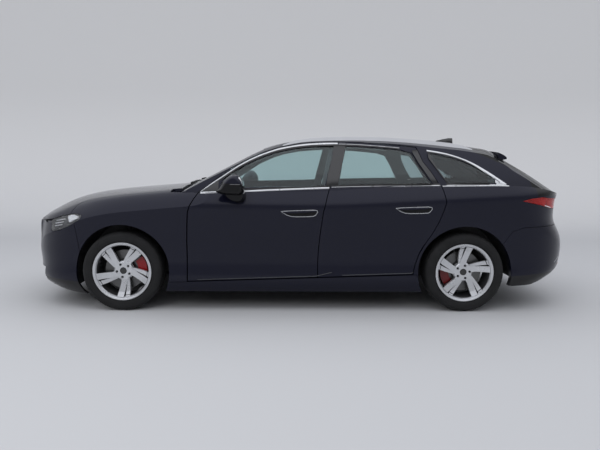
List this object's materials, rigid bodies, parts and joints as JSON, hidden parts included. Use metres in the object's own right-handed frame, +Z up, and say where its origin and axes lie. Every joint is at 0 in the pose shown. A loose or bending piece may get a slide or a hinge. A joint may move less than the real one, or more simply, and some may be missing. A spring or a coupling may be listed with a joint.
{
  "type": "station wagon",
  "caption": "Five-door station wagon with opening doors, bonnet and tailgate, steered front wheels and four rolling wheels.",
  "frame": {"origin": "on the ground, midway along the car's length and on its centre line", "axes": "+X points forward, +Y to the car's left, +Z up"},
  "size_m": [4.826, 2.096, 1.5029],
  "materials": {
    "body_paint": "gloss metallic",
    "window_glass": "clear, tinted",
    "headlamp": "clear",
    "tail_lamp": "gloss",
    "black_plastic": "gloss",
    "satin_aluminium": "satin",
    "mirror_housing": "gloss",
    "structure": "matt",
    "housing_plastic": "matt",
    "radiator": "matt",
    "engine": "matt",
    "chassis": "matt",
    "knuckle_metal": "matt",
    "leather": "satin",
    "cabin_plastic": "matt",
    "wheel_alloy": "satin",
    "tyre": "matt"
  },
  "bodies": {
    "body": {"roof_panel": "body_paint", "windscreen": "window_glass", "headlamps": "headlamp", "front_bumper": "body_paint", "grille": "black_plastic", "quarter_windows": "window_glass", "tail_lamps": "tail_lamp", "rear_bumper": "body_paint", "roof_rails": "satin_aluminium", "antenna": "black_plastic", "floor_pan": "structure", "firewall": "structure", "front_wheel_housings": "housing_plastic", "rear_wheel_housings": "housing_plastic", "front_structure": "structure", "radiator": "radiator", "engine_block": "engine", "front_subframe": "chassis", "rear_axle": "chassis", "front_seats": "leather", "rear_bench": "leather", "dashboard": "cabin_plastic", "steering_wheel": "cabin_plastic", "side_frame_left": "body_paint", "side_frame_right": "body_paint", "front_fender_left": "body_paint", "front_fender_right": "body_paint", "quarter_panel_left": "body_paint", "quarter_panel_right": "body_paint"},
    "bonnet": {"bonnet": "body_paint"},
    "tailgate": {"tailgate": "body_paint", "tailgate_window": "window_glass", "spoiler": "body_paint"},
    "front_door_left": {"front_door_left": "body_paint", "front_window_left": "window_glass", "mirror_left": "mirror_housing"},
    "rear_door_left": {"rear_door_left": "body_paint", "rear_window_left": "window_glass"},
    "front_knuckle_left": {"front_knuckle_left": "knuckle_metal"},
    "front_wheel_left": {"front_wheel_left": "wheel_alloy", "front_tyre_left": "tyre"},
    "rear_wheel_left": {"rear_wheel_left": "wheel_alloy", "rear_tyre_left": "tyre"},
    "front_door_right": {"front_door_right": "body_paint", "front_window_right": "window_glass", "mirror_right": "mirror_housing"},
    "rear_door_right": {"rear_door_right": "body_paint", "rear_window_right": "window_glass"},
    "front_knuckle_right": {"front_knuckle_right": "knuckle_metal"},
    "front_wheel_right": {"front_wheel_right": "wheel_alloy", "front_tyre_right": "tyre"},
    "rear_wheel_right": {"rear_wheel_right": "wheel_alloy", "rear_tyre_right": "tyre"}
  },
  "joints": [
    {"name": "bonnet_hinge", "type": "hinge", "parent": "body", "child": "bonnet", "pos_m": [1.04, 0, 1.052], "axis": [0, -1, 0], "range_deg": [0, 50]},
    {"name": "tailgate_hinge", "type": "hinge", "parent": "body", "child": "tailgate", "pos_m": [-1.733, 0, 1.378], "axis": [0, 1, 0], "range_deg": [0, 75]},
    {"name": "front_door_left_hinge", "type": "hinge", "parent": "body", "child": "front_door_left", "pos_m": [0.89, 0.913, 0.6], "axis": [0, 0, -1], "range_deg": [0, 65]},
    {"name": "rear_door_left_hinge", "type": "hinge", "parent": "body", "child": "rear_door_left", "pos_m": [-0.24, 0.913, 0.6], "axis": [0, 0, -1], "range_deg": [0, 65]},
    {"name": "steer_left", "type": "hinge", "parent": "body", "child": "front_knuckle_left", "pos_m": [1.5045, 0.712, 0.205], "axis": [0, -0.1512, 0.9885], "range_deg": [-33, 33]},
    {"name": "front_wheel_left_spin", "type": "hinge", "parent": "front_knuckle_left", "child": "front_wheel_left", "pos_m": [1.5045, 0.79, 0.336], "axis": [0, 1, 0], "continuous": true},
    {"name": "rear_wheel_left_spin", "type": "hinge", "parent": "body", "child": "rear_wheel_left", "pos_m": [-1.3905, 0.79, 0.336], "axis": [0, 1, 0], "continuous": true},
    {"name": "front_door_right_hinge", "type": "hinge", "parent": "body", "child": "front_door_right", "pos_m": [0.89, -0.913, 0.6], "axis": [0, 0, 1], "range_deg": [0, 65]},
    {"name": "rear_door_right_hinge", "type": "hinge", "parent": "body", "child": "rear_door_right", "pos_m": [-0.24, -0.913, 0.6], "axis": [0, 0, 1], "range_deg": [0, 65]},
    {"name": "steer_right", "type": "hinge", "parent": "body", "child": "front_knuckle_right", "pos_m": [1.5045, -0.712, 0.205], "axis": [0, 0.1512, 0.9885], "range_deg": [-33, 33]},
    {"name": "front_wheel_right_spin", "type": "hinge", "parent": "front_knuckle_right", "child": "front_wheel_right", "pos_m": [1.5045, -0.79, 0.336], "axis": [0, 1, 0], "continuous": true},
    {"name": "rear_wheel_right_spin", "type": "hinge", "parent": "body", "child": "rear_wheel_right", "pos_m": [-1.3905, -0.79, 0.336], "axis": [0, 1, 0], "continuous": true}
  ],
  "couplings": [
    {"joint": "steer_right", "follows": "steer_left", "ratio": 1}
  ]
}
